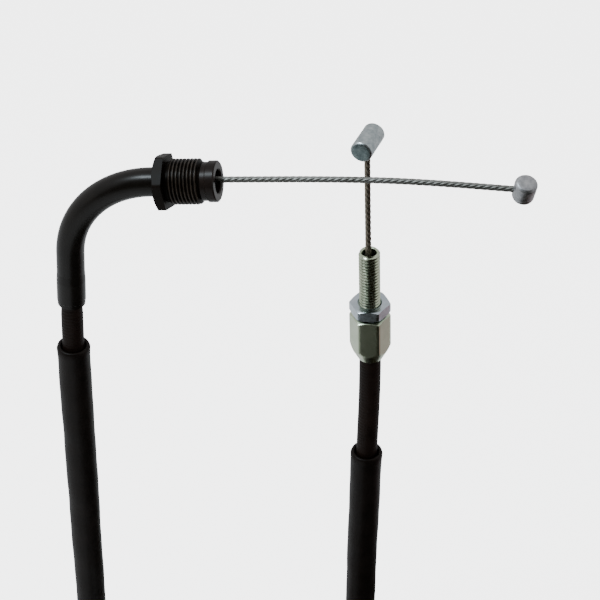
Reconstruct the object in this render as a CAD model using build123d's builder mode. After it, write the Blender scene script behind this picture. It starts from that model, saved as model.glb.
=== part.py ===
"""Motorcycle throttle cable: inner wire, lined conduit, elbow gland and screw adjuster.

Millimetres, +Z up along the adjuster's axis. The origin is where the adjuster's thread leaves its
lock nut, which is where the carburettor's cap seats. The cable stands on its own coil.
"""
from math import cos, pi, radians, sin, tan
import os

from build123d import *

os.makedirs("parts", exist_ok=True)

# ---------------------------------------------------------------- driving dimensions
# inner wire and its cast nipples
wire_diameter = 1.6
throttle_barrel_diameter = 5.8
throttle_barrel_length = 6.5
carburettor_barrel_diameter = 5.9
carburettor_barrel_length = 10.5
carburettor_barrel_offset = 0.45
throttle_barrel_chamfer = 0.8
carburettor_barrel_chamfer = 0.5

# conduit: jacket over a steel spiral over a liner, with a loose sleeve outside
jacket_outer = 6.0
jacket_inner = 5.1
spiral_inner = 3.2
liner_inner = 2.4
sleeve_outer = 9.0
sleeve_inner = 7.0

# metal caps on the conduit's two ends
ferrule_outer = 6.6
ferrule_length = 9.0
ferrule_floor = 1.0
ferrule_hole = 2.4
ferrule_play = 0.08

# adjuster screw, M6 x 1.0 with a hexagon body whose corners are turned down
thread_diameter = 6.0
thread_top = 17.6
thread_chamfer = 0.4
relief_depth = 0.3
relief_length = 0.6
adjuster_bore = 4.0
adjuster_mouth = 4.9
adjuster_flats = 10.3
adjuster_corner = 5.87
adjuster_turned = -8.0
body_top = -3.9
body_chamfer = 0.5
body_bottom = -19.5
cone_slope = 26.0
cone_end_radius = 3.6
ferrule_seat = -8.0
ferrule_bore = 6.7
crimp_bore = 6.2
crimp_length = 2.2

# lock nut
nut_flats = 10.3
nut_height = 3.2
nut_bore = 6.08
nut_turned = -9.0
nut_chamfer = 0.35

# elbow tube; distances along the gland's axis are from the collar's face, outwards
collar_face = Vector(-39.79, -5.52, 46.77)
gland_axis = Vector(0.972, -0.2088, 0.1075).normalized()
collar_outer = 11.0
collar_end = 0.3
collar_length = 2.3
collar_neck_outer = 10.3
collar_neck_length = 1.2
collar_lip = 0.5
collar_mouth = 6.4
collar_chamfer = 0.3
tube_outer = 7.8
tube_inner = 6.2
tube_corner = -41.2
tube_bend_radius = 28.0
tube_leg = Vector(-0.0885, 0.0, -1.0).normalized()
tube_leg_length = 40.5
sleeve_mouth = 56.5
elbow_liner_setback = 0.3
bell_outer = 8.1
bell_length = 11.0
bell_chamfer = 0.9
bell_chamfer_height = 1.35
bell_shoulder = 8.25
bell_lip = 1.0
elbow_liner_inner = 4.6

# gland nut, M12 x 1.0 with a 14 mm hexagon
gland_thread = 12.0
gland_thread_start = -13.26
gland_thread_end = -3.55
gland_relief_diameter = 10.6
gland_relief_length = 1.1
gland_relief_taper = 0.4
gland_flats = 14.0
gland_back = -15.97
gland_turned = -24.8
gland_bore = 7.96
gland_chamfer = 0.5

# the throttle wire: distances from the collar's face, each with the height over the gland's axis
wire_line = ((-21.0, 0.61), (7.0, 0.50), (34.0, 0.25), (57.0, -0.95), (80.0, -3.60))
throttle_barrel_axis = Vector(0.09, -0.37, 0.925).normalized()

# the carburettor wire, and where the two lengths of wire that stay in the conduit begin
carburettor_wire_tail = -2.0
carburettor_wire_shift = -0.25
carburettor_wire_end = 53.1
throttle_core_start = 24.0
carburettor_core_start = -24.0
carburettor_barrel_axis = Vector(0.401, 0.916, 0.0).normalized()

# the coil that takes the rest of the cable, wound as one and a half flat turns
coil_centre = (-39.0, -50.0)
floor_height = -184.0
turn_height = floor_height + sleeve_outer / 2
outer_turn = 52.0
inner_turn = 42.7
tie_angles = (232.0, 308.0)
tie_width = 4.0
tie_thickness = 1.1
tie_corner = 3.4
coil_corner = 4.4
coil_play = 0.1

# ---------------------------------------------------------------- routes of the cable
corner = collar_face + gland_axis * tube_corner
leg_end = corner + tube_leg * tube_leg_length
elbow_ferrule_top = leg_end - tube_leg * (bell_lip + ferrule_length)
adjuster_ferrule_top = Vector(0.0, 0.0, ferrule_seat - ferrule_play)
# from the ferrule in the elbow's bell down to the floor and into the coil's outer turn;
# the sleeve starts at the second point
throttle_route = [
    elbow_ferrule_top + tube_leg * ferrule_floor,
    corner + tube_leg * sleeve_mouth,
    Vector(-86.25, 2.9, -44.0),
    Vector(-89.2, 2.2, -99.0),
    Vector(-91.0, 0.8, -141.25),
    Vector(-91.0, -13.2, -165.5),
    Vector(-91.0, -37.45, -179.5),
    Vector(-88.7, -65.2, -179.5),
]
# from the ferrule in the adjuster down to the floor and into the coil's inner turn;
# the sleeve starts at the third point
carburettor_route = [
    adjuster_ferrule_top - Vector(0.0, 0.0, ferrule_floor),
    Vector(0.0, 0.0, -27.0),
    Vector(-1.5, 0.2, -57.8),
    Vector(-3.7, 0.1, -108.0),
    Vector(-4.6, -0.9, -135.75),
    Vector(-2.25, -14.7, -160.0),
    Vector(1.82, -38.6, -174.0),
    Vector(1.1, -64.6, -178.0),
]


def corner_radii(points):
    """Radius of each corner: 0.45 of its shorter run over the tangent of half its turn."""
    radii = []
    for before, here, after in zip(points, points[1:], points[2:]):
        shorter = min((here - before).length, (after - here).length)
        half_turn = radians((here - before).get_angle(after - here) / 2)
        radii.append(0.45 * shorter / tan(half_turn))
    return radii


def route_length(points):
    """Length of the runs and arcs along a route."""
    length = sum((b - a).length for a, b in zip(points, points[1:]))
    turns = zip(points, points[1:], points[2:])
    for radius, (before, here, after) in zip(corner_radii(points), turns):
        turn = radians((here - before).get_angle(after - here))
        length += radius * turn - 2 * radius * tan(turn / 2)
    return length


def cord_tube(points, outer, inner=0.0):
    """A tube, or a solid round when inner is 0, along a route of runs and tangent arcs."""
    with BuildPart() as tube:
        with BuildLine():
            FilletPolyline(*points, radius=corner_radii(points))
        with BuildSketch(Plane(origin=points[0], z_dir=points[1] - points[0])):
            Circle(outer / 2)
            if inner:
                Circle(inner / 2, mode=Mode.SUBTRACT)
        sweep()
    section = pi * (outer**2 - inner**2) / 4
    share = tube.part.volume / (section * route_length(points))
    print(f"cord tube {outer} mm, {route_length(points):.1f} mm long, volume share {share:.4f}")
    return tube


def save(piece, name):
    """Label a finished piece and write it as one STEP file."""
    piece.part.label = name
    export_step(piece.part, f"parts/{name}.step")


for name, route in (("throttle", throttle_route), ("carburettor", carburettor_route)):
    print(f"{name} route radii:", ", ".join(f"{r:.0f}" for r in corner_radii(route)))

# ---------------------------------------------------------------- planes
gland_front = Vector(gland_axis.Y, -gland_axis.X, 0).normalized()
gland_plane = Plane(origin=collar_face, x_dir=gland_front, z_dir=gland_axis)
gland_profile = Plane(origin=collar_face, x_dir=gland_front, z_dir=gland_front.cross(gland_axis))
leg_profile = Plane(origin=leg_end, x_dir=(0, 1, 0), z_dir=Vector(0, 1, 0).cross(-tube_leg))
leg_axis = Axis(leg_end, -tube_leg)
adjuster_axis = Axis((0, 0, 0), (0, 0, 1))


def wire_point(place):
    """A point on the throttle wire, from its distance along the gland and its height over it."""
    along, above = place
    return gland_plane.from_local_coords(Vector(0, -above, along))


# ---------------------------------------------------------------- adjuster end
nut_corner = nut_flats / 2 / cos(radians(30))
cone_top = body_bottom + (adjuster_corner - cone_end_radius) / tan(radians(cone_slope))

with BuildPart() as adjuster_screw:
    with BuildSketch(Plane.XY.offset(body_bottom)):
        RegularPolygon(adjuster_flats / 2, 6, major_radius=False, rotation=adjuster_turned)
    extrude(amount=body_top - body_bottom)
    # the cone that closes on the conduit, and the small bevel under the nut
    with BuildSketch(Plane.XZ):
        with BuildLine():
            Polyline(
                (0, body_bottom),
                (cone_end_radius, body_bottom),
                (adjuster_corner, cone_top),
                (adjuster_corner, body_top - body_chamfer),
                (adjuster_corner - 2 * body_chamfer, body_top),
                (0, body_top),
                close=True,
            )
        make_face()
    revolve(axis=adjuster_axis, mode=Mode.INTERSECT)
    # the thread, with a narrow relief where the nut's top face stands
    with BuildSketch(Plane.XZ):
        with BuildLine():
            Polyline(
                (0, body_top - 1),
                (thread_diameter / 2, body_top - 1),
                (thread_diameter / 2, -relief_length),
                (thread_diameter / 2 - relief_depth, -relief_length),
                (thread_diameter / 2 - relief_depth, 0),
                (thread_diameter / 2, 0),
                (thread_diameter / 2, thread_top - thread_chamfer),
                (thread_diameter / 2 - thread_chamfer, thread_top),
                (0, thread_top),
                close=True,
            )
        make_face()
    revolve(axis=adjuster_axis)
    # wire bore with a countersunk mouth, then the wider seat of the conduit's ferrule
    with BuildSketch(Plane.XZ):
        with BuildLine():
            Polyline(
                (0, body_bottom - 1),
                (crimp_bore / 2, body_bottom - 1),
                (crimp_bore / 2, body_bottom + crimp_length),
                (ferrule_bore / 2, body_bottom + crimp_length),
                (ferrule_bore / 2, ferrule_seat),
                (adjuster_bore / 2, ferrule_seat),
                (adjuster_bore / 2, thread_top - (adjuster_mouth - adjuster_bore) / 2),
                (adjuster_mouth / 2, thread_top),
                (0, thread_top),
                close=True,
            )
        make_face()
    revolve(axis=adjuster_axis, mode=Mode.SUBTRACT)
save(adjuster_screw, "adjuster_screw")

with BuildPart() as lock_nut:
    with BuildSketch(Plane.XY.offset(-nut_height)):
        RegularPolygon(nut_flats / 2, 6, major_radius=False, rotation=nut_turned)
    extrude(amount=nut_height)
    with BuildSketch(Plane.XZ):
        with BuildLine():
            Polyline(
                (0, -nut_height),
                (nut_corner - 2 * nut_chamfer, -nut_height),
                (nut_corner, -nut_height + nut_chamfer),
                (nut_corner, -nut_chamfer),
                (nut_corner - 2 * nut_chamfer, 0),
                (0, 0),
                close=True,
            )
        make_face()
    revolve(axis=adjuster_axis, mode=Mode.INTERSECT)
    with Locations((0, 0, -nut_height / 2)):
        Cylinder(nut_bore / 2, nut_height + 1, mode=Mode.SUBTRACT)
save(lock_nut, "lock_nut")


def ferrule(plane):
    """A cap over the conduit's end: the plane's origin is its closed end, its z points down the conduit."""
    with BuildPart() as cap:
        with BuildSketch(plane):
            Circle(ferrule_outer / 2)
            Circle(ferrule_hole / 2, mode=Mode.SUBTRACT)
        extrude(amount=ferrule_floor)
        with BuildSketch(plane.offset(ferrule_floor)):
            Circle(ferrule_outer / 2)
            Circle(jacket_outer / 2, mode=Mode.SUBTRACT)
        extrude(amount=ferrule_length - ferrule_floor)
    return cap


adjuster_ferrule = ferrule(Plane(origin=adjuster_ferrule_top, z_dir=(0, 0, -1)))
save(adjuster_ferrule, "adjuster_ferrule")

with BuildPart() as carburettor_wire:
    with BuildSketch(Plane.XY.offset(carburettor_wire_tail)):
        with Locations((carburettor_wire_shift, 0)):
            Circle(wire_diameter / 2)
    extrude(amount=carburettor_wire_end - carburettor_wire_tail)
save(carburettor_wire, "carburettor_wire")


def barrel(centre, axis, diameter, length, bevel, wire_end, wire_direction):
    """A cast nipple with bevelled ends and the blind hole that its wire is cast into."""
    with BuildPart() as nipple:
        with BuildSketch(Plane(origin=centre, z_dir=axis)):
            Circle(diameter / 2)
        extrude(amount=length / 2, both=True)
        chamfer(nipple.edges().filter_by(GeomType.CIRCLE), bevel)
        with BuildSketch(Plane(origin=wire_end, z_dir=wire_direction)):
            Circle(wire_diameter / 2)
        extrude(amount=diameter, mode=Mode.SUBTRACT)
    return nipple


carburettor_wire_top = Vector(carburettor_wire_shift, 0, carburettor_wire_end)
carburettor_barrel = barrel(
    carburettor_wire_top + carburettor_barrel_axis * carburettor_barrel_offset,
    carburettor_barrel_axis,
    carburettor_barrel_diameter,
    carburettor_barrel_length,
    carburettor_barrel_chamfer,
    carburettor_wire_top,
    Vector(0, 0, -1),
)
save(carburettor_barrel, "carburettor_barrel")

# ---------------------------------------------------------------- throttle end
throttle_wire_route = [wire_point(place) for place in wire_line]
throttle_wire = cord_tube(throttle_wire_route, wire_diameter)
save(throttle_wire, "throttle_wire")

throttle_barrel = barrel(
    throttle_wire_route[-1],
    throttle_barrel_axis,
    throttle_barrel_diameter,
    throttle_barrel_length,
    throttle_barrel_chamfer,
    throttle_wire_route[-1],
    throttle_wire_route[-2] - throttle_wire_route[-1],
)
save(throttle_barrel, "throttle_barrel")


def elbow_pipe(outer, inner, start, end):
    """A bent pipe along the elbow, cut back from both of its ends."""
    first = collar_face - gland_axis * (collar_lip + start)
    last = leg_end - tube_leg * end
    with BuildPart() as pipe:
        with BuildLine():
            FilletPolyline(first, corner, last, radius=tube_bend_radius)
        with BuildSketch(Plane(origin=first, z_dir=-gland_axis)):
            Circle(outer / 2)
            Circle(inner / 2, mode=Mode.SUBTRACT)
        sweep()
    return pipe


with BuildPart() as elbow_tube:
    add(elbow_pipe(tube_outer, tube_inner, 0.0, 0.0).part)
    # the bell, swaged wide over the ferrule and closed on the conduit at its lip
    with BuildSketch(leg_profile):
        with BuildLine():
            Polyline(
                (tube_inner / 2, 0),
                (bell_outer / 2 - bell_chamfer, 0),
                (bell_outer / 2, bell_chamfer_height),
                (bell_outer / 2, bell_shoulder),
                (tube_outer / 2, bell_length),
                (tube_inner / 2, bell_length),
                close=True,
            )
        make_face()
    revolve(axis=leg_axis)
    with BuildSketch(leg_profile):
        with BuildLine():
            Polyline(
                (0, bell_lip),
                (ferrule_outer / 2, bell_lip),
                (ferrule_outer / 2, bell_lip + ferrule_length),
                (0, bell_lip + ferrule_length),
                close=True,
            )
        make_face()
    revolve(axis=leg_axis, mode=Mode.SUBTRACT)
save(elbow_tube, "elbow_tube")

elbow_ferrule = ferrule(Plane(origin=elbow_ferrule_top, z_dir=tube_leg))
save(elbow_ferrule, "elbow_ferrule")

elbow_liner = elbow_pipe(tube_inner, elbow_liner_inner, elbow_liner_setback, bell_length)
save(elbow_liner, "elbow_liner")

with BuildPart() as end_collar:
    with BuildSketch(gland_profile):
        with BuildLine():
            Polyline(
                (tube_outer / 2, -collar_length - collar_neck_length),
                (collar_neck_outer / 2, -collar_length - collar_neck_length),
                (collar_neck_outer / 2, -collar_length),
                (collar_outer / 2, -collar_length + collar_chamfer),
                (collar_outer / 2, collar_end - collar_chamfer),
                (collar_outer / 2 - collar_chamfer, collar_end),
                (collar_mouth / 2 + collar_chamfer, collar_end),
                (collar_mouth / 2, collar_end - collar_chamfer),
                (collar_mouth / 2, -collar_lip),
                (tube_outer / 2, -collar_lip),
                close=True,
            )
        make_face()
    revolve(axis=Axis(collar_face, gland_axis))
save(end_collar, "end_collar")

with BuildPart() as gland_nut:
    with BuildSketch(gland_plane.offset(gland_back)):
        RegularPolygon(gland_flats / 2, 6, major_radius=False, rotation=gland_turned)
    extrude(amount=gland_thread_start - gland_back)
    gland_corner = gland_flats / 2 / cos(radians(30))
    with BuildSketch(gland_profile):
        with BuildLine():
            Polyline(
                (0, gland_back),
                (gland_corner - 2 * gland_chamfer, gland_back),
                (gland_corner, gland_back + gland_chamfer),
                (gland_corner, gland_thread_start),
                (0, gland_thread_start),
                close=True,
            )
        make_face()
    revolve(axis=Axis(collar_face, gland_axis), mode=Mode.INTERSECT)
    with BuildSketch(gland_profile):
        with BuildLine():
            Polyline(
                (0, gland_thread_start - 1),
                (gland_relief_diameter / 2, gland_thread_start - 1),
                (gland_relief_diameter / 2, gland_thread_start + gland_relief_length),
                (gland_thread / 2, gland_thread_start + gland_relief_length + gland_relief_taper),
                (gland_thread / 2, gland_thread_end - gland_chamfer),
                (gland_thread / 2 - gland_chamfer, gland_thread_end),
                (0, gland_thread_end),
                close=True,
            )
        make_face()
    revolve(axis=Axis(collar_face, gland_axis))
    with BuildSketch(gland_plane.offset(gland_back - 1)):
        Circle(gland_bore / 2)
    extrude(amount=gland_thread_end - gland_back + 2, mode=Mode.SUBTRACT)
save(gland_nut, "gland_nut")

# ---------------------------------------------------------------- conduit and sleeve
for side, route, sleeve_start, core_start in (
    ("throttle", throttle_route, 1, corner + tube_leg * throttle_core_start),
    ("carburettor", carburettor_route, 2, Vector(0, 0, carburettor_core_start)),
):
    save(cord_tube(route, jacket_outer, jacket_inner), f"conduit_jacket_{side}")
    save(cord_tube(route, jacket_inner, spiral_inner), f"conduit_spiral_{side}")
    save(cord_tube(route, spiral_inner, liner_inner), f"conduit_liner_{side}")
    save(cord_tube(route[sleeve_start:], sleeve_outer, sleeve_inner), f"sleeve_{side}")
    save(cord_tube([core_start] + route[1:], wire_diameter), f"wire_core_{side}")

# ---------------------------------------------------------------- coil and ties
coil_width = outer_turn - inner_turn + sleeve_outer
coil_middle = (outer_turn + inner_turn) / 2
coil_plane = Plane(origin=(*coil_centre, turn_height), x_dir=(1, 0, 0), z_dir=(0, -1, 0))


def tie_plane(angle):
    """Plane across the coil at an angle round it, its x pointing away from the coil's centre."""
    outwards = Vector(cos(radians(angle)), sin(radians(angle)), 0)
    middle = Vector(*coil_centre, turn_height) + outwards * coil_middle
    return Plane(origin=middle, x_dir=outwards, z_dir=outwards.cross(Vector(0, 0, 1)))


ties = []
for angle in tie_angles:
    with BuildPart() as tie:
        with BuildSketch(tie_plane(angle)):
            with Locations((0, tie_thickness / 2)):
                RectangleRounded(coil_width + 2 * tie_thickness, sleeve_outer + tie_thickness, tie_corner + 1)
            with Locations((0, tie_thickness / 2)):
                RectangleRounded(coil_width, sleeve_outer - tie_thickness, tie_corner, mode=Mode.SUBTRACT)
        extrude(amount=tie_width / 2, both=True)
    ties.append(tie)
save(ties[0], "coil_tie_left")
save(ties[1], "coil_tie_right")

with BuildPart() as cable_coil:
    with BuildSketch(coil_plane):
        with Locations((coil_middle, 0)):
            RectangleRounded(coil_width, sleeve_outer, coil_corner)
    revolve(axis=Axis((*coil_centre, 0), (0, 0, 1)))
    # room for the two runs that lead into it, and for the ties pulled into it
    add(cord_tube(throttle_route[3:], sleeve_outer + coil_play).part, mode=Mode.SUBTRACT)
    add(cord_tube(carburettor_route[3:], sleeve_outer + coil_play).part, mode=Mode.SUBTRACT)
    for tie in ties:
        add(tie.part, mode=Mode.SUBTRACT)
save(cable_coil, "cable_coil")
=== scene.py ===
"""Looks of the throttle cable: ridged conduit, loose sleeve, cut threads, stranded wire and cast nipples.

Sizes are in millimetres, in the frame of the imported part, and become metres where a mesh is made.
"""
from bisect import bisect
from math import ceil, cos, pi, radians, sin, sqrt, tau

import bpy
from mathutils import Matrix, Vector


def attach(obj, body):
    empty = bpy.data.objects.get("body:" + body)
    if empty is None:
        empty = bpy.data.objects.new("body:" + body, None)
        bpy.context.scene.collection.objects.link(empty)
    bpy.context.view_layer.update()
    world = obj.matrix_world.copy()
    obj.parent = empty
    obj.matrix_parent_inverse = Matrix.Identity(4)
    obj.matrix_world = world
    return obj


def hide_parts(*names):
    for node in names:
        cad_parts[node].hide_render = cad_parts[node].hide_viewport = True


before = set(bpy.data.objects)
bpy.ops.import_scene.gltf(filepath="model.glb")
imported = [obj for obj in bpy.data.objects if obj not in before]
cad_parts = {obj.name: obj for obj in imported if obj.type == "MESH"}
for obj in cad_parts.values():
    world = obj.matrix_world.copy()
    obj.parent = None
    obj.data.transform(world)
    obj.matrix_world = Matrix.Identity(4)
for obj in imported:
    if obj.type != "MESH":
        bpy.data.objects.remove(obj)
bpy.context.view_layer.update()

MM = 0.001
SENSOR = 36.0

# ---------------------------------------------------------------- camera
camera_place = Vector((-19.48, -404.4, 322.2))
camera_pitch = radians(38.4)
camera_roll = radians(2.35)
camera_lens = 111.0


def make_camera():
    """The camera looks along +Y and down, rolled a little, as the object was seen."""
    ahead = Vector((0, cos(camera_pitch), -sin(camera_pitch)))
    up = Vector((0, sin(camera_pitch), cos(camera_pitch)))
    right = Vector((cos(camera_roll), 0, 0)) - up * sin(camera_roll)
    top = Vector((sin(camera_roll), 0, 0)) + up * cos(camera_roll)
    data = bpy.data.cameras.new("camera")
    data.lens = camera_lens
    data.sensor_width = SENSOR
    data.clip_start = 0.01
    data.clip_end = 50.0
    camera = bpy.data.objects.new("camera", data)
    turn = Matrix((right, top, -ahead)).transposed()
    camera.matrix_world = Matrix.Translation(camera_place * MM) @ turn.to_4x4()
    bpy.context.scene.collection.objects.link(camera)
    bpy.context.scene.camera = camera


make_camera()

# ---------------------------------------------------------------- sizes of the real pieces
wire_radius = 0.86
strands = 6
strand_groove = 0.17
wire_lay = 11.0
jacket_radius = 3.0
jacket_swell = 0.14
conduit_covered = 10.6
conduit_bore = 1.2
bore_shown = 14.0
ridge_pitch = 1.15
ridge_height = 0.05
sleeve_radius = 4.5
sleeve_bore = 3.5
sleeve_lip = 0.55
sleeve_swell = 0.2
sleeve_flare = 0.2
sleeve_depth = 14.0

collar_face = Vector((-39.79, -5.52, 46.77))
gland_axis = Vector((0.972, -0.2088, 0.1075)).normalized()
gland_front = Vector((gland_axis.y, -gland_axis.x, 0)).normalized()
gland_up = gland_front.cross(gland_axis)
tube_leg = Vector((-0.0885, 0.0, -1.0)).normalized()
corner = collar_face + gland_axis * -41.2
leg_end = corner + tube_leg * 40.5

# ---------------------------------------------------------------- routes, the same points as the part's
throttle_route = [
    leg_end - tube_leg * 9.0,
    corner + tube_leg * 56.5,
    (-86.25, 2.9, -44.0),
    (-89.2, 2.2, -99.0),
    (-91.0, 0.8, -141.25),
    (-91.0, -13.2, -165.5),
    (-91.0, -37.45, -179.5),
    (-88.7, -65.2, -179.5),
]
carburettor_route = [
    (0.0, 0.0, -9.08),
    (0.0, 0.0, -27.0),
    (-1.5, 0.2, -57.8),
    (-3.7, 0.1, -108.0),
    (-4.6, -0.9, -135.75),
    (-2.25, -14.7, -160.0),
    (1.82, -38.6, -174.0),
    (1.1, -64.6, -178.0),
]
throttle_wire_line = [(-21.0, 0.61), (7.0, 0.50), (34.0, 0.25), (57.0, -0.95), (80.0, -3.60)]
carburettor_wire_route = [(-0.25, 0, -2.0), (-0.25, 0, 20.0), (-0.25, 0, 53.1)]

coil_centre = (-39.0, -50.0)
coil_height = -179.5
outer_turn = 52.0
inner_turn = 42.7
coil_start = 197.0
coil_end = 700.0
coil_step = 15.0


def coil_points():
    """The turns on the floor: one round outside, drawn in behind, and one round inside."""
    steps = ceil((coil_end - coil_start) / coil_step)
    points = []
    for k in range(1, steps):
        angle = coil_start + (coil_end - coil_start) * k / steps
        drawn_in = min(max((angle - 360.0) / 180.0, 0.0), 1.0)
        radius = outer_turn + (inner_turn - outer_turn) * drawn_in
        x = coil_centre[0] + radius * cos(radians(angle))
        y = coil_centre[1] + radius * sin(radians(angle))
        points.append((x, y, coil_height))
    return points


# ---------------------------------------------------------------- lines and skins
def read_spline(points):
    """The smooth line of a route, read from its own NURBS spline with no bevel."""
    curve = bpy.data.curves.new("route", "CURVE")
    curve.dimensions = "3D"
    curve.resolution_u = 16
    spline = curve.splines.new("NURBS")
    spline.points.add(len(points) - 1)
    for place, point in zip(spline.points, points):
        place.co = (*(Vector(point) * MM), 1.0)
    spline.order_u = 3
    spline.use_endpoint_u = True
    spline.resolution_u = 16
    holder = bpy.data.objects.new("route", curve)
    bpy.context.scene.collection.objects.link(holder)
    mesh = bpy.data.meshes.new_from_object(holder)
    line = [vertex.co / MM for vertex in mesh.vertices]
    bpy.data.objects.remove(holder)
    bpy.data.meshes.remove(mesh)
    return line


class Line:
    """A line through points, with its place and cross directions at any distance along it."""

    def __init__(self, points, across):
        self.points = [Vector(p) for p in points]
        self.distance = [0.0]
        for a, b in zip(self.points, self.points[1:]):
            self.distance.append(self.distance[-1] + (b - a).length)
        self.length = self.distance[-1]
        last = len(self.points) - 1
        self.side = []
        self.other = []
        side = Vector(across)
        for i in range(last + 1):
            ahead = (self.points[min(i + 1, last)] - self.points[max(i - 1, 0)]).normalized()
            side = (side - ahead * side.dot(ahead)).normalized()
            self.side.append(side)
            self.other.append(ahead.cross(side))

    def at(self, along):
        """Place, side and other direction at a distance along the line."""
        i = min(max(bisect(self.distance, along), 1), len(self.points) - 1)
        share = (along - self.distance[i - 1]) / (self.distance[i] - self.distance[i - 1])
        kinds = (self.points, self.side, self.other)
        return [kind[i - 1] + (kind[i] - kind[i - 1]) * share for kind in kinds]

    def metres(self):
        """The line's points in metres."""
        return [p * MM for p in self.points]


def straight(origin, direction, across, start, end):
    """A straight line whose distances are counted from `start`, along a direction from an origin."""
    return Line([origin + direction * start, origin + direction * end], across)


def plain(along, radius, angle):
    """A round ring."""
    return radius


def stretch(start, end, step):
    """Distances from start to end, no more than a step apart."""
    count = max(ceil(abs(end - start) / step), 1)
    return [start + (end - start) * k / count for k in range(count + 1)]


def skin(name, line, rings, segments=48, hollow=False, sharp=35.0, marked=None):
    """A mesh of rings along a line: each is its distance, its radius and the shape it follows.
    A hollow skin joins its last ring to its first; another is capped at both ends. The faces that
    `marked` picks take the second material."""
    places, faces, second = [], [], []
    for along, radius, shape in rings:
        middle, side, other = line.at(along)
        for k in range(segments):
            angle = tau * k / segments
            out = side * cos(angle) + other * sin(angle)
            places.append((middle + out * shape(along, radius, angle)) * MM)
    count = len(rings)
    for i in range(count if hollow else count - 1):
        here, there = i * segments, (i + 1) % count * segments
        for k in range(segments):
            after = (k + 1) % segments
            if marked and marked(rings[i][0], rings[i][1], tau * (k + 0.5) / segments):
                second.append(len(faces))
            faces.append((here + k, here + after, there + after, there + k))
    if not hollow:
        for first, index, flip in ((0, rings[0][0], True), ((count - 1) * segments, rings[-1][0], False)):
            centre = len(places)
            places.append(line.at(index)[0] * MM)
            for k in range(segments):
                a, b = first + k, first + (k + 1) % segments
                faces.append((b, a, centre) if flip else (a, b, centre))
    mesh = bpy.data.meshes.new(name)
    mesh.from_pydata(places, [], faces)
    for index in second:
        mesh.polygons[index].material_index = 1
    mesh.shade_smooth()
    mesh.set_sharp_from_angle(angle=radians(sharp))
    piece = bpy.data.objects.new(name, mesh)
    bpy.context.scene.collection.objects.link(piece)
    return piece


def finish_piece(piece, body, slot, looks, *nodes):
    """Give a piece its material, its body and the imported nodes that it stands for."""
    piece.data.materials.append(looks)
    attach(piece, body)
    if nodes:
        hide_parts(*nodes)


# ---------------------------------------------------------------- shapes round a ring
def hexagon(flats, turned, corner_radius):
    """A hexagon across its flats, with its corners eased to a radius, inside the ring's own radius."""
    def shape(along, radius, angle):
        off = (angle - radians(turned) + pi / 6) % (pi / 3) - pi / 6
        flat_off = pi / 6 - abs(off)
        return min(flats / 2 / cos(flat_off), corner_radius, radius)
    return shape


def thread(pitch, depth, fade_start, fade_end):
    """A right-handed thread: a flat crest, straight flanks and a narrow root, fading at its start."""
    def shape(along, radius, angle):
        turn = (along / pitch - angle / tau) % 1.0
        flank = abs(turn - 0.5) * 2
        groove = min(max((flank - 0.22) / 0.6, 0.0), 1.0)
        fade = min(max((along - fade_start) / (fade_end - fade_start), 0.0), 1.0)
        return radius - depth * groove * fade
    return shape


def strand_shape(lay, hand):
    """Six strands laid round a seventh: the outline of a wire rope, turning along its length."""
    strand = wire_radius / 3
    pitch_circle = wire_radius - strand
    def shape(along, radius, angle):
        turn = angle - hand * tau * along / lay
        off = (turn + pi / strands) % (tau / strands) - pi / strands
        reach = strand**2 - (pitch_circle * sin(off)) ** 2
        return max(pitch_circle * cos(off) + sqrt(max(reach, 0.0)), wire_radius - strand_groove)
    return shape


def ridges(along, radius, angle):
    """The steel spiral showing through the conduit's jacket."""
    turn = (along / ridge_pitch - angle / tau) % 1.0
    return radius - ridge_height * (0.5 - 0.5 * cos(tau * turn)) ** 3


# ---------------------------------------------------------------- materials
def material(name, low, high, roughness, metallic=0.0, grain=1200.0, bump=0.1, depth=0.00002, specular=0.5):
    """A surface whose colour runs between two shades, with its own grain in gloss and relief."""
    looks = bpy.data.materials.new(name)
    looks.use_nodes = True
    nodes, links = looks.node_tree.nodes, looks.node_tree.links
    shader = nodes["Principled BSDF"]
    shader.inputs["Metallic"].default_value = metallic
    shader.inputs["Specular IOR Level"].default_value = specular
    place = nodes.new("ShaderNodeTexCoord")
    patches = nodes.new("ShaderNodeTexNoise")
    patches.inputs["Scale"].default_value = grain / 6
    patches.inputs["Detail"].default_value = 5.0
    patches.inputs["Roughness"].default_value = 0.62
    links.new(place.outputs["Object"], patches.inputs["Vector"])
    shade = nodes.new("ShaderNodeValToRGB")
    shade.color_ramp.elements[0].position = 0.32
    shade.color_ramp.elements[0].color = (*low, 1)
    shade.color_ramp.elements[1].position = 0.68
    shade.color_ramp.elements[1].color = (*high, 1)
    links.new(patches.outputs["Fac"], shade.inputs["Fac"])
    links.new(shade.outputs["Color"], shader.inputs["Base Color"])
    gloss = nodes.new("ShaderNodeMapRange")
    gloss.inputs["To Min"].default_value = roughness[0]
    gloss.inputs["To Max"].default_value = roughness[1]
    links.new(patches.outputs["Fac"], gloss.inputs["Value"])
    links.new(gloss.outputs["Result"], shader.inputs["Roughness"])
    fine = nodes.new("ShaderNodeTexNoise")
    fine.inputs["Scale"].default_value = grain
    fine.inputs["Detail"].default_value = 4.0
    links.new(place.outputs["Object"], fine.inputs["Vector"])
    relief = nodes.new("ShaderNodeBump")
    relief.inputs["Strength"].default_value = bump
    relief.inputs["Distance"].default_value = depth
    links.new(fine.outputs["Fac"], relief.inputs["Height"])
    links.new(relief.outputs["Normal"], shader.inputs["Normal"])
    return looks


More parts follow.
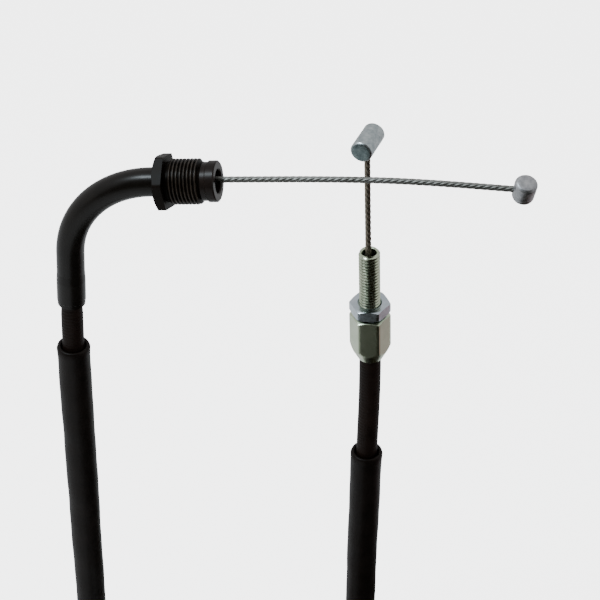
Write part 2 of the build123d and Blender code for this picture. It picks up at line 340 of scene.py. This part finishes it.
looks = {
    "black_tube": material("black_tube", (0.0028, 0.002, 0.0014), (0.005, 0.0037, 0.0028), (0.26, 0.36),
                           bump=0.12, specular=0.2),
    "black_gland": material("black_gland", (0.002, 0.0014, 0.0009), (0.007, 0.0047, 0.0033), (0.34, 0.46),
                            bump=0.12, specular=0.05),
    # lighter brown on the gland's thread crests: a painted highlight where the lamp catches them
    "crest_highlight": material("crest_highlight", (0.012, 0.0085, 0.006), (0.034, 0.025, 0.018), (0.34, 0.46),
                           bump=0.12, specular=0.2),
    "collar_end": material("collar_end", (0.004, 0.0028, 0.0022), (0.015, 0.01, 0.0085), (0.26, 0.38),
                           bump=0.15, specular=0.14),
    "adjuster_zinc": material("adjuster_zinc", (0.40, 0.48, 0.35), (0.56, 0.61, 0.47), (0.2, 0.3), 1.0,
                              bump=0.04),
    # darker zinc in the adjuster's thread roots: painted shade in the grooves
    "thread_root_shade": material("thread_root_shade", (0.11, 0.13, 0.09), (0.20, 0.22, 0.15), (0.32, 0.45), 1.0,
                            bump=0.04),
    "nut_zinc": material("nut_zinc", (0.40, 0.46, 0.51), (0.54, 0.59, 0.64), (0.18, 0.28), 1.0, bump=0.04),
    "zinc_plate": material("zinc_plate", (0.42, 0.42, 0.38), (0.56, 0.56, 0.52), (0.3, 0.42), 1.0),
    "barrel": material("barrel", (0.26, 0.31, 0.33), (0.52, 0.56, 0.57), (0.3, 0.45), 1.0, 4200.0, 0.35,
                       0.00003),
    "barrel_dull": material("barrel_dull", (0.29, 0.30, 0.32), (0.50, 0.50, 0.51), (0.4, 0.54), 1.0, 4200.0,
                            0.35, 0.00003),
    # darker teal for the carburettor nipple's near end face: painted shade
    "barrel_face_shade": material("barrel_face_shade", (0.08, 0.11, 0.115), (0.22, 0.27, 0.27), (0.4, 0.55), 1.0, 4200.0,
                            0.4, 0.00004),
    "bright_wire": material("bright_wire", (0.17, 0.17, 0.155), (0.28, 0.285, 0.27), (0.46, 0.58), 1.0),
    "oiled_wire": material("oiled_wire", (0.16, 0.14, 0.11), (0.28, 0.25, 0.2), (0.5, 0.62), 1.0),
    "jacket": material("jacket", (0.0055, 0.0027, 0.0018), (0.0105, 0.0056, 0.004), (0.45, 0.58), bump=0.2,
                       specular=0.08),
    "sleeve": material("sleeve", (0.0034, 0.0019, 0.0013), (0.0065, 0.0038, 0.0028), (0.4, 0.52), bump=0.2,
                       specular=0.12),
    "spiral": material("spiral", (0.35, 0.35, 0.34), (0.5, 0.5, 0.5), (0.3, 0.4), 1.0),
    "liner": material("liner", (0.72, 0.72, 0.68), (0.82, 0.82, 0.79), (0.45, 0.6)),
    "strap": material("strap", (0.004, 0.004, 0.0045), (0.008, 0.008, 0.009), (0.3, 0.4), specular=0.3),
}

# ---------------------------------------------------------------- cords
cable_line = Line(read_spline(throttle_route + coil_points() + carburettor_route[::-1]), (0, 1, 0))


def along_of(point):
    """Distance along the cable of the place nearest to a point."""
    point = Vector(point)
    nearest = min(range(len(cable_line.points)), key=lambda i: (cable_line.points[i] - point).length)
    return cable_line.distance[nearest]


def make_conduit():
    """The jacketed conduit from ferrule to ferrule, ridged where it shows outside the sleeve."""
    shown_left = along_of(corner + tube_leg * 66.0)
    shown_right = along_of((-1.9, 0.2, -68.0))
    fine = ridge_pitch / 7

    def crimped(along, radius, angle):
        from_end = min(along, cable_line.length - along)
        swell = jacket_swell * min(max((from_end - conduit_covered) / 2.5, 0.0), 1.0)
        return ridges(along, radius, angle) + swell

    rings = [(s, conduit_bore, plain) for s in stretch(bore_shown, 0.0, 2.0)]
    rings += [(s, jacket_radius, crimped) for s in stretch(0.0, shown_left, fine)]
    hidden = stretch(shown_left + 1, shown_right - 1, 5.0)
    rings += [(s, jacket_radius - ridge_height, plain) for s in hidden]
    rings += [(s, jacket_radius, crimped) for s in stretch(shown_right, cable_line.length, fine)]
    bore_end = cable_line.length - bore_shown
    rings += [(s, conduit_bore, plain) for s in stretch(cable_line.length, bore_end, 2.0)]
    conduit = skin("conduit", cable_line, rings, 36)
    finish_piece(conduit, "cable", "conduit_jacket", looks["jacket"],
                 "conduit_jacket_throttle", "conduit_jacket_carburettor")


def make_sleeve():
    """The loose sleeve over the conduit, open at both of its mouths."""
    start = along_of(corner + tube_leg * 56.5)
    end = along_of((-1.5, 0.2, -57.8))

    def worn(along, radius, angle):
        swell = 0.05 * sin(along / 5.3 + 1.7 * sin(angle + along / 31)) + 0.03 * sin(along / 2.1 + 2 * angle)
        mouth = min(along - start, end - along)
        loose = sleeve_swell * min(max(1.5 - mouth / 80.0, 0.0), 1.0)
        return radius + swell + loose + sleeve_flare * max(0.0, 1 - mouth / 5.0) ** 2

    inside = [(s, sleeve_bore, plain) for s in stretch(start + sleeve_depth, start + sleeve_lip / 2, 2.0)]
    turns = [pi * k / 6 for k in range(7)]
    middle = (sleeve_radius + sleeve_flare + sleeve_bore) / 2
    lip_radius = (sleeve_radius + sleeve_flare - sleeve_bore) / 2
    lip = [(start + lip_radius * (1 - sin(a)), middle - lip_radius * cos(a), plain) for a in turns]
    outside = [(s, sleeve_radius, worn) for s in stretch(start + 1.0, end - 1.0, 1.6)]
    far_lip = [(end - lip_radius * (1 - sin(a)), middle + lip_radius * cos(a), plain) for a in turns]
    far_inside = [(s, sleeve_bore, plain) for s in stretch(end - sleeve_lip / 2, end - sleeve_depth, 2.0)]
    rings = inside + lip + outside + far_lip + far_inside
    sleeve = skin("sleeve", cable_line, rings, 40, sharp=50.0)
    finish_piece(sleeve, "cable", "sleeve", looks["sleeve"],
                 "sleeve_throttle", "sleeve_carburettor", "cable_coil")


make_conduit()
make_sleeve()


def make_wire(name, line, body, paint, node):
    """A stranded wire, drawn as the outline of its six outer strands."""
    shape = strand_shape(wire_lay, -1)
    rings = [(s, wire_radius, shape) for s in stretch(0.0, line.length, wire_lay / 30)]
    wire = skin(name, line, rings, 48, sharp=60.0)
    finish_piece(wire, body, "wire", looks[paint], node)
    line.metres()


# ---------------------------------------------------------------- nipples
end_face = 0.98


def make_barrel(name, centre, axis, across, length, near, far, bevel, body, node, paint, seams=(),
                shaded_near_face=False):
    """A cast nipple: bevelled rims, a slight draft from end to end, and the marks of its mould; its near end
    face can take painted shade.
    """
    line = Line([centre - axis * length / 2, centre + axis * length / 2], across)

    def radius_at(along):
        share = along / length
        radius = near + (far - near) * share
        for seam, width, cut in seams:
            radius -= cut * max(0.0, 1 - abs(share - seam) * length / width)
        return radius

    def cast(along, radius, angle):
        wave = 0.012 * sin(3 * angle + along) + 0.008 * sin(7 * angle - 2.3 * along)
        return radius + wave

    first = [(0.0, near * 0.45, plain), (0.0, near - bevel, cast), (0.06, near - bevel + 0.11, cast)]
    first += [(bevel - 0.1, near - 0.06, cast), (bevel, near - 0.02, cast)]
    walls = [(s, radius_at(s), cast) for s in stretch(bevel + 0.1, length - bevel - 0.1, 0.12)]
    last = [(length - bevel, far - 0.02, cast), (length - bevel + 0.1, far - 0.06, cast)]
    last += [(length - 0.06, far - bevel + 0.11, cast), (length, far - bevel, cast)]
    last += [(length, far * 0.45, plain)]
    piece = skin(name, line, first + walls + last, 64, sharp=40.0)
    finish_piece(piece, body, "barrel", looks[paint], node)
    # the near end face takes the darker teal colour: painted shade
    if shaded_near_face:
        piece.data.materials.append(looks["barrel_face_shade"])
        for face in piece.data.polygons:
            if abs(face.normal.dot(axis)) > end_face and (face.center / MM - centre).dot(axis) < 0:
                face.material_index = 1
    return piece


throttle_points = [collar_face + gland_axis * t + gland_up * h for t, h in throttle_wire_line]
throttle_axis = Vector((0.09, -0.37, 0.925)).normalized()
carburettor_axis = Vector((0.401, 0.916, 0.0)).normalized()
throttle_nipple = make_barrel("throttle_nipple", throttle_points[-1], throttle_axis, (1, 0, 0), 6.5,
                              2.84, 2.96, 0.75, "throttle_wire", "throttle_barrel", "barrel_dull",
                              ((0.30, 0.3, 0.05),))
carburettor_centre = Vector((-0.25, 0, 53.1)) + carburettor_axis * 0.45
carburettor_nipple = make_barrel("carburettor_nipple", carburettor_centre, carburettor_axis, (0, 0, 1),
                                 10.5, 2.98, 2.94, 0.45, "carburettor_wire", "carburettor_barrel", "barrel",
                                 ((0.72, 0.28, 0.06), (0.86, 0.25, 0.03), (0.93, 0.25, 0.03)), True)
make_wire("throttle_wire_rope", Line(read_spline(throttle_points), (0, 0, 1)), "throttle_wire", "bright_wire",
          "throttle_wire")
make_wire("carburettor_wire_rope", Line(read_spline(carburettor_wire_route), (1, 0, 0)), "carburettor_wire",
          "oiled_wire", "carburettor_wire")

# ---------------------------------------------------------------- adjuster and lock nut
adjuster_base = -19.5
hexagon_flats = 10.3
root_start = 0.62
root_radius = 2.5
thread_finish = 36.3
crest_end = 0.3
crest_radius = 5.9
adjuster_corner = 5.87
cone_end = 3.6
cone_slope = 0.488
nut_corner = hexagon_flats / 2 / cos(pi / 6)


def make_adjuster():
    """The adjuster screw: hexagon body closing in a cone, rolled thread above, bored through, with painted
    shade in the roots of its thread.
    """
    line = straight(Vector(), Vector((0, 0, 1)), (1, 0, 0), adjuster_base, 17.6)
    body = hexagon(hexagon_flats, -8.0, adjuster_corner)
    helix = thread(1.0, 0.3, 16.0, 17.0)
    cone_top = (adjuster_corner - cone_end) / cone_slope

    def rings_at(pairs, shape):
        return [(z - adjuster_base, r, shape) for z, r in pairs]

    cone = [(adjuster_base + s, cone_end + s * cone_slope) for s in stretch(0.0, cone_top, 0.15)]
    shaft = [(z, 3.0) for z in stretch(-3.9, 17.0, 0.09)]
    rings = rings_at([(adjuster_base, 3.1), (adjuster_base, cone_end - 0.1)], plain)
    rings += rings_at(cone, body)
    rings += rings_at([(z, 9.0) for z in stretch(adjuster_base + cone_top + 0.1, -4.55, 0.6)], body)
    rings += rings_at([(z, adjuster_corner - (z + 4.5) * 1.9) for z in stretch(-4.5, -3.98, 0.08)], body)
    rings += rings_at([(-3.9, 4.65), (-3.9, 3.02)], plain)
    rings += rings_at(shaft, helix)
    rings += rings_at([(17.05 + s, 2.97 - 0.85 * s) for s in stretch(0.0, 0.5, 0.1)], helix)
    rings += rings_at([(17.6, 2.5), (17.6, 2.44), (17.2, 2.05), (16.9, 2.0)], plain)
    rings += rings_at([(z, 2.0) for z in stretch(15.5, -8.0, 4.0)], plain)
    rings += rings_at([(-8.0, 3.35), (-17.3, 3.35), (-17.3, 3.1)], plain)

    # the roots of the thread take the darker zinc: painted shade in the grooves
    def root(along, radius, angle):
        off_crest = abs((along - angle / tau) % 1.0 - 0.5) * 2
        return -adjuster_base < along < thread_finish and radius > root_radius and off_crest > root_start

    piece = skin("adjuster", line, rings, 96, hollow=True, sharp=28.0, marked=root)
    finish_piece(piece, "adjuster", "adjuster_zinc", looks["adjuster_zinc"], "adjuster_screw")
    piece.data.materials.append(looks["thread_root_shade"])


def make_nut():
    """The lock nut, bevelled on both faces."""
    height, bevel = 3.2, 0.42
    line = straight(Vector(), Vector((0, 0, 1)), (1, 0, 0), -height, 0.0)
    body = hexagon(hexagon_flats, -9.0, nut_corner * 0.985)
    bevels = [bevel * k / 5 for k in range(6)]
    rings = [(0.0, 3.1, plain), (0.0, nut_corner - 2.0 * bevel, body)]
    rings += [(b, nut_corner - 2.0 * (bevel - b), body) for b in bevels]
    rings += [(height - bevel + b, nut_corner - 2.0 * b, body) for b in bevels]
    rings += [(height, 3.45, plain), (height - 0.35, 3.04, plain), (0.35, 3.04, plain)]
    piece = skin("nut", line, rings, 96, hollow=True, sharp=25.0)
    finish_piece(piece, "lock_nut", "nut_zinc", looks["nut_zinc"], "lock_nut")


make_adjuster()
make_nut()


# ---------------------------------------------------------------- gland
def make_gland():
    """The gland nut: hexagon, undercut and a coarse-cut thread, loose on the elbow; its thread crests carry a
    painted highlight.
    """
    back, shoulder, end = -15.97, -13.26, -3.55
    across_corners = 14.0 / 2 / cos(pi / 6)
    line = straight(collar_face, gland_axis, gland_front, back, end)
    body = hexagon(14.0, -24.8, across_corners * 0.988)
    helix = thread(1.0, 0.56, shoulder + 1.1 - back, shoulder + 1.6 - back)

    def rings_at(pairs, shape):
        return [(t - back, r, shape) for t, r in pairs]

    rings = rings_at([(back, 3.98), (back, across_corners - 1.2)], plain)
    rings += rings_at([(back + s, across_corners - 1.1 + 1.9 * s) for s in stretch(0.02, 0.62, 0.1)], body)
    rings += rings_at([(t, 9.0) for t in stretch(back + 0.7, shoulder, 0.3)], body)
    rings += rings_at([(shoulder, 5.35), (shoulder + 1.0, 5.3)], plain)
    rings += rings_at([(t, 6.1) for t in stretch(shoulder + 1.2, end - 1.0, 0.085)], helix)
    rings += rings_at([(end - 0.95 + s, 6.05 - 1.25 * s) for s in stretch(0.0, 0.9, 0.1)], helix)
    rings += rings_at([(end, 4.6), (end, 3.98)], plain)

    # the thread crests take the lighter colour: painted highlight
    def crest(along, radius, angle):
        off_crest = abs((along - angle / tau) % 1.0 - 0.5) * 2
        return along > shoulder + 1.6 - back and radius > crest_radius and off_crest < crest_end

    piece = skin("gland", line, rings, 108, hollow=True, sharp=28.0, marked=crest)
    finish_piece(piece, "gland", "black_gland", looks["black_gland"], "gland_nut")
    piece.data.materials.append(looks["crest_highlight"])


make_gland()

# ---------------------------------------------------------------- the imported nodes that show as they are
paint = {
    "elbow_tube": "black_tube",
    "end_collar": "collar_end",
    "elbow_liner": "black_gland",
    "elbow_ferrule": "zinc_plate",
    "adjuster_ferrule": "zinc_plate",
    "coil_tie_left": "strap",
    "coil_tie_right": "strap",
}
for side in ("throttle", "carburettor"):
    paint[f"conduit_spiral_{side}"] = "spiral"
    paint[f"conduit_liner_{side}"] = "liner"
    paint[f"wire_core_{side}"] = "bright_wire"
for node, choice in paint.items():
    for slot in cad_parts[node].material_slots:
        slot.link = "OBJECT"
        slot.material = looks[choice]


# ---------------------------------------------------------------- studio
def make_card(name, corners, colour, glow=0.0):
    """A flat matte card in the studio, with its own light if it has a glow."""
    mesh = bpy.data.meshes.new(name)
    mesh.from_pydata([Vector(c) * MM for c in corners], [], [tuple(range(len(corners)))])
    card = bpy.data.objects.new(name, mesh)
    bpy.context.scene.collection.objects.link(card)
    surface = bpy.data.materials.new(name)
    surface.use_nodes = True
    shader = surface.node_tree.nodes["Principled BSDF"]
    shader.inputs["Base Color"].default_value = (*colour, 1)
    shader.inputs["Roughness"].default_value = 1.0
    shader.inputs["Specular IOR Level"].default_value = 0.0
    shader.inputs["Emission Color"].default_value = (1, 1, 1, 1)
    shader.inputs["Emission Strength"].default_value = glow
    mesh.materials.append(surface)
    return card


def make_light(name, place, aim, size, power, colour):
    """A soft square light."""
    data = bpy.data.lights.new(name, "AREA")
    data.shape = "RECTANGLE"
    data.size, data.size_y = size
    data.energy = power
    data.color = colour
    light = bpy.data.objects.new(name, data)
    light.location = Vector(place) * MM
    light.rotation_euler = (Vector(aim) * MM - light.location).to_track_quat("-Z", "Y").to_euler()
    bpy.context.scene.collection.objects.link(light)


floor_height = -184.0
reach = 9000.0
floor_corners = [(-reach, -reach), (reach, -reach), (reach, reach), (-reach, reach)]
# the pale floor that is seen glows evenly and takes no shadow; a plain one just below it, unseen,
# gives the light that comes up from the floor
floor = make_card("floor", [(x, y, floor_height) for x, y in floor_corners], (0.86, 0.86, 0.86), 3.6)
floor.visible_diffuse = False
floor.visible_glossy = False
floor.visible_shadow = False
bounce = make_card("floor_bounce", [(x, y, floor_height - 1.0) for x, y in floor_corners],
                   (0.86, 0.86, 0.86))
bounce.visible_camera = False
# dark and warm cloths, a dark mat and a dark wall, which only the object's shiny surfaces show
dark = (0.022, 0.019, 0.012)
cloth_height = floor_height + 0.5
cloth = make_card("dark_cloth", [(-12, 12, cloth_height), (-330, -900, cloth_height),
                                 (900, -900, cloth_height), (900, -240, cloth_height),
                                 (60, 12, cloth_height)], dark)
wall = make_card("dark_wall", [(-1500, -900, floor_height), (1500, -900, floor_height),
                               (1500, -900, 3000), (-1500, -900, 3000)], dark)
warm = make_card("warm_cloth", [(61, 12, cloth_height), (900, -239, cloth_height), (900, 360, cloth_height)],
                 (0.44, 0.30, 0.31))
under = make_card("dark_mat", [(-45, -60, cloth_height + 0.2), (75, -60, cloth_height + 0.2),
                               (75, 60, cloth_height + 0.2), (-45, 60, cloth_height + 0.2)], dark)
for card in (cloth, wall, warm, under):
    card.visible_camera = False
    card.visible_diffuse = False
    card.visible_shadow = False

world = bpy.data.worlds.new("studio")
world.use_nodes = True
world.node_tree.nodes["Background"].inputs["Color"].default_value = (1.0, 1.0, 1.0, 1)
world.node_tree.nodes["Background"].inputs["Strength"].default_value = 0.85
bpy.context.scene.world = world
make_light("top_light", (-370, -105, 620), (-65, -10, 50), (0.12, 0.12), 3.4, (0.82, 0.93, 1.0))
